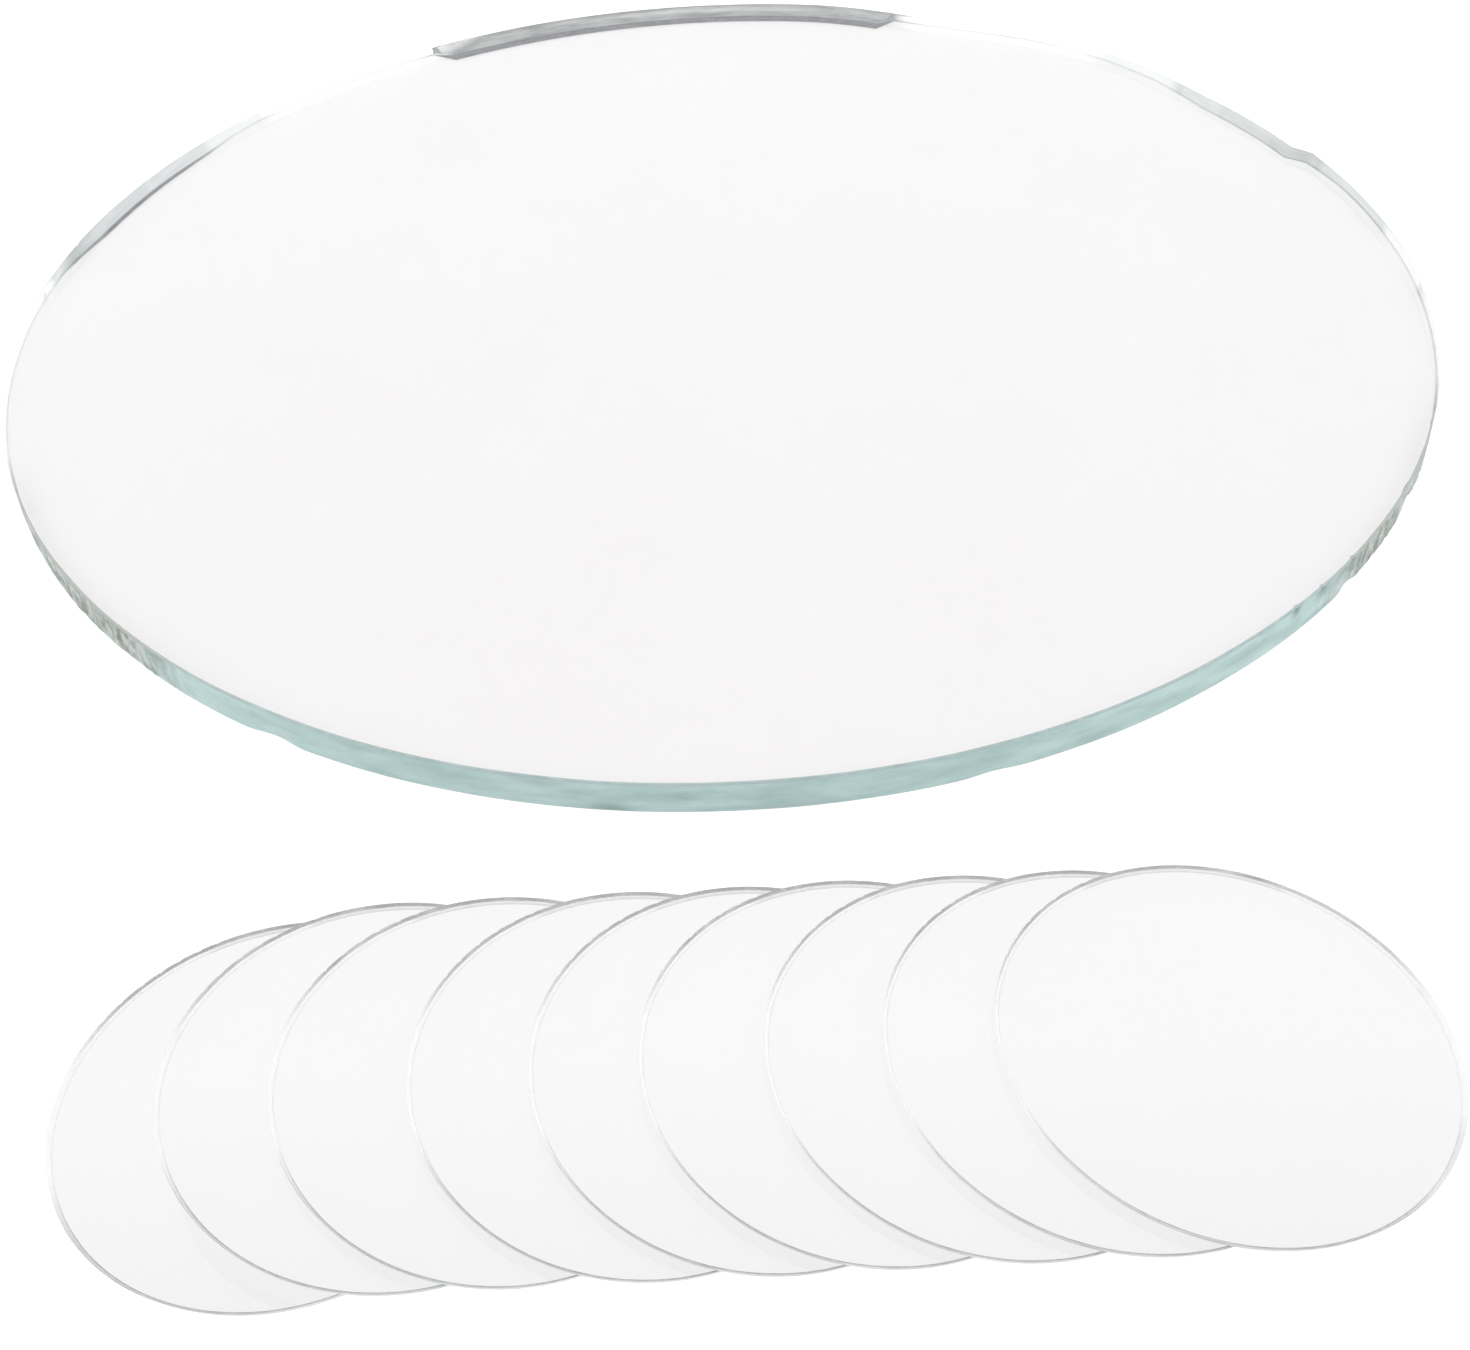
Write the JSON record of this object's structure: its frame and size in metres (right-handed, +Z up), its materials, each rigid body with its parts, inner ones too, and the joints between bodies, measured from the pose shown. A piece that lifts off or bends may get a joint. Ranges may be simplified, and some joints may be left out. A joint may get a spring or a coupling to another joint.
{
  "type": "watch glass",
  "caption": "Set of loose, clear, flat round glass plates: a large plate with a row of small plates that overlap like tiles in front of it.",
  "frame": {"origin": "centre of the large glass's underside, on the surface that all the glasses lie on", "axes": "+Z up, out of the large glass's upper face; the row of small glasses runs along X on the -Y side, and each lies over the one on its -X side"},
  "size_m": [0.115, 0.1477, 0.0033],
  "materials": {
    "large_glass": "polished faces, cut and lightly seamed edge that shows green",
    "small_glass": "polished faces, thin grey cut edge"
  },
  "bodies": {
    "large_glass": {"large_glass": "large_glass"},
    "small_glass_1": {"small_glass_1": "small_glass"},
    "small_glass_2": {"small_glass_2": "small_glass"},
    "small_glass_3": {"small_glass_3": "small_glass"},
    "small_glass_4": {"small_glass_4": "small_glass"},
    "small_glass_5": {"small_glass_5": "small_glass"},
    "small_glass_6": {"small_glass_6": "small_glass"},
    "small_glass_7": {"small_glass_7": "small_glass"},
    "small_glass_8": {"small_glass_8": "small_glass"},
    "small_glass_9": {"small_glass_9": "small_glass"}
  },
  "joints": [
    {"name": "lift_small_glass_1", "type": "slide", "parent": "large_glass", "child": "small_glass_1", "axis": [0, 0, 1], "range_m": [0, 0.02]},
    {"name": "lift_small_glass_2", "type": "slide", "parent": "small_glass_1", "child": "small_glass_2", "axis": [0, 0, 1], "range_m": [0, 0.02]},
    {"name": "lift_small_glass_3", "type": "slide", "parent": "small_glass_2", "child": "small_glass_3", "axis": [0, 0, 1], "range_m": [0, 0.02]},
    {"name": "lift_small_glass_4", "type": "slide", "parent": "small_glass_3", "child": "small_glass_4", "axis": [0, 0, 1], "range_m": [0, 0.02]},
    {"name": "lift_small_glass_5", "type": "slide", "parent": "small_glass_4", "child": "small_glass_5", "axis": [0, 0, 1], "range_m": [0, 0.02]},
    {"name": "lift_small_glass_6", "type": "slide", "parent": "small_glass_5", "child": "small_glass_6", "axis": [0, 0, 1], "range_m": [0, 0.02]},
    {"name": "lift_small_glass_7", "type": "slide", "parent": "small_glass_6", "child": "small_glass_7", "axis": [0, 0, 1], "range_m": [0, 0.02]},
    {"name": "lift_small_glass_8", "type": "slide", "parent": "small_glass_7", "child": "small_glass_8", "axis": [0, 0, 1], "range_m": [0, 0.02]},
    {"name": "lift_small_glass_9", "type": "slide", "parent": "small_glass_8", "child": "small_glass_9", "axis": [0, 0, 1], "range_m": [0, 0.02]}
  ]
}
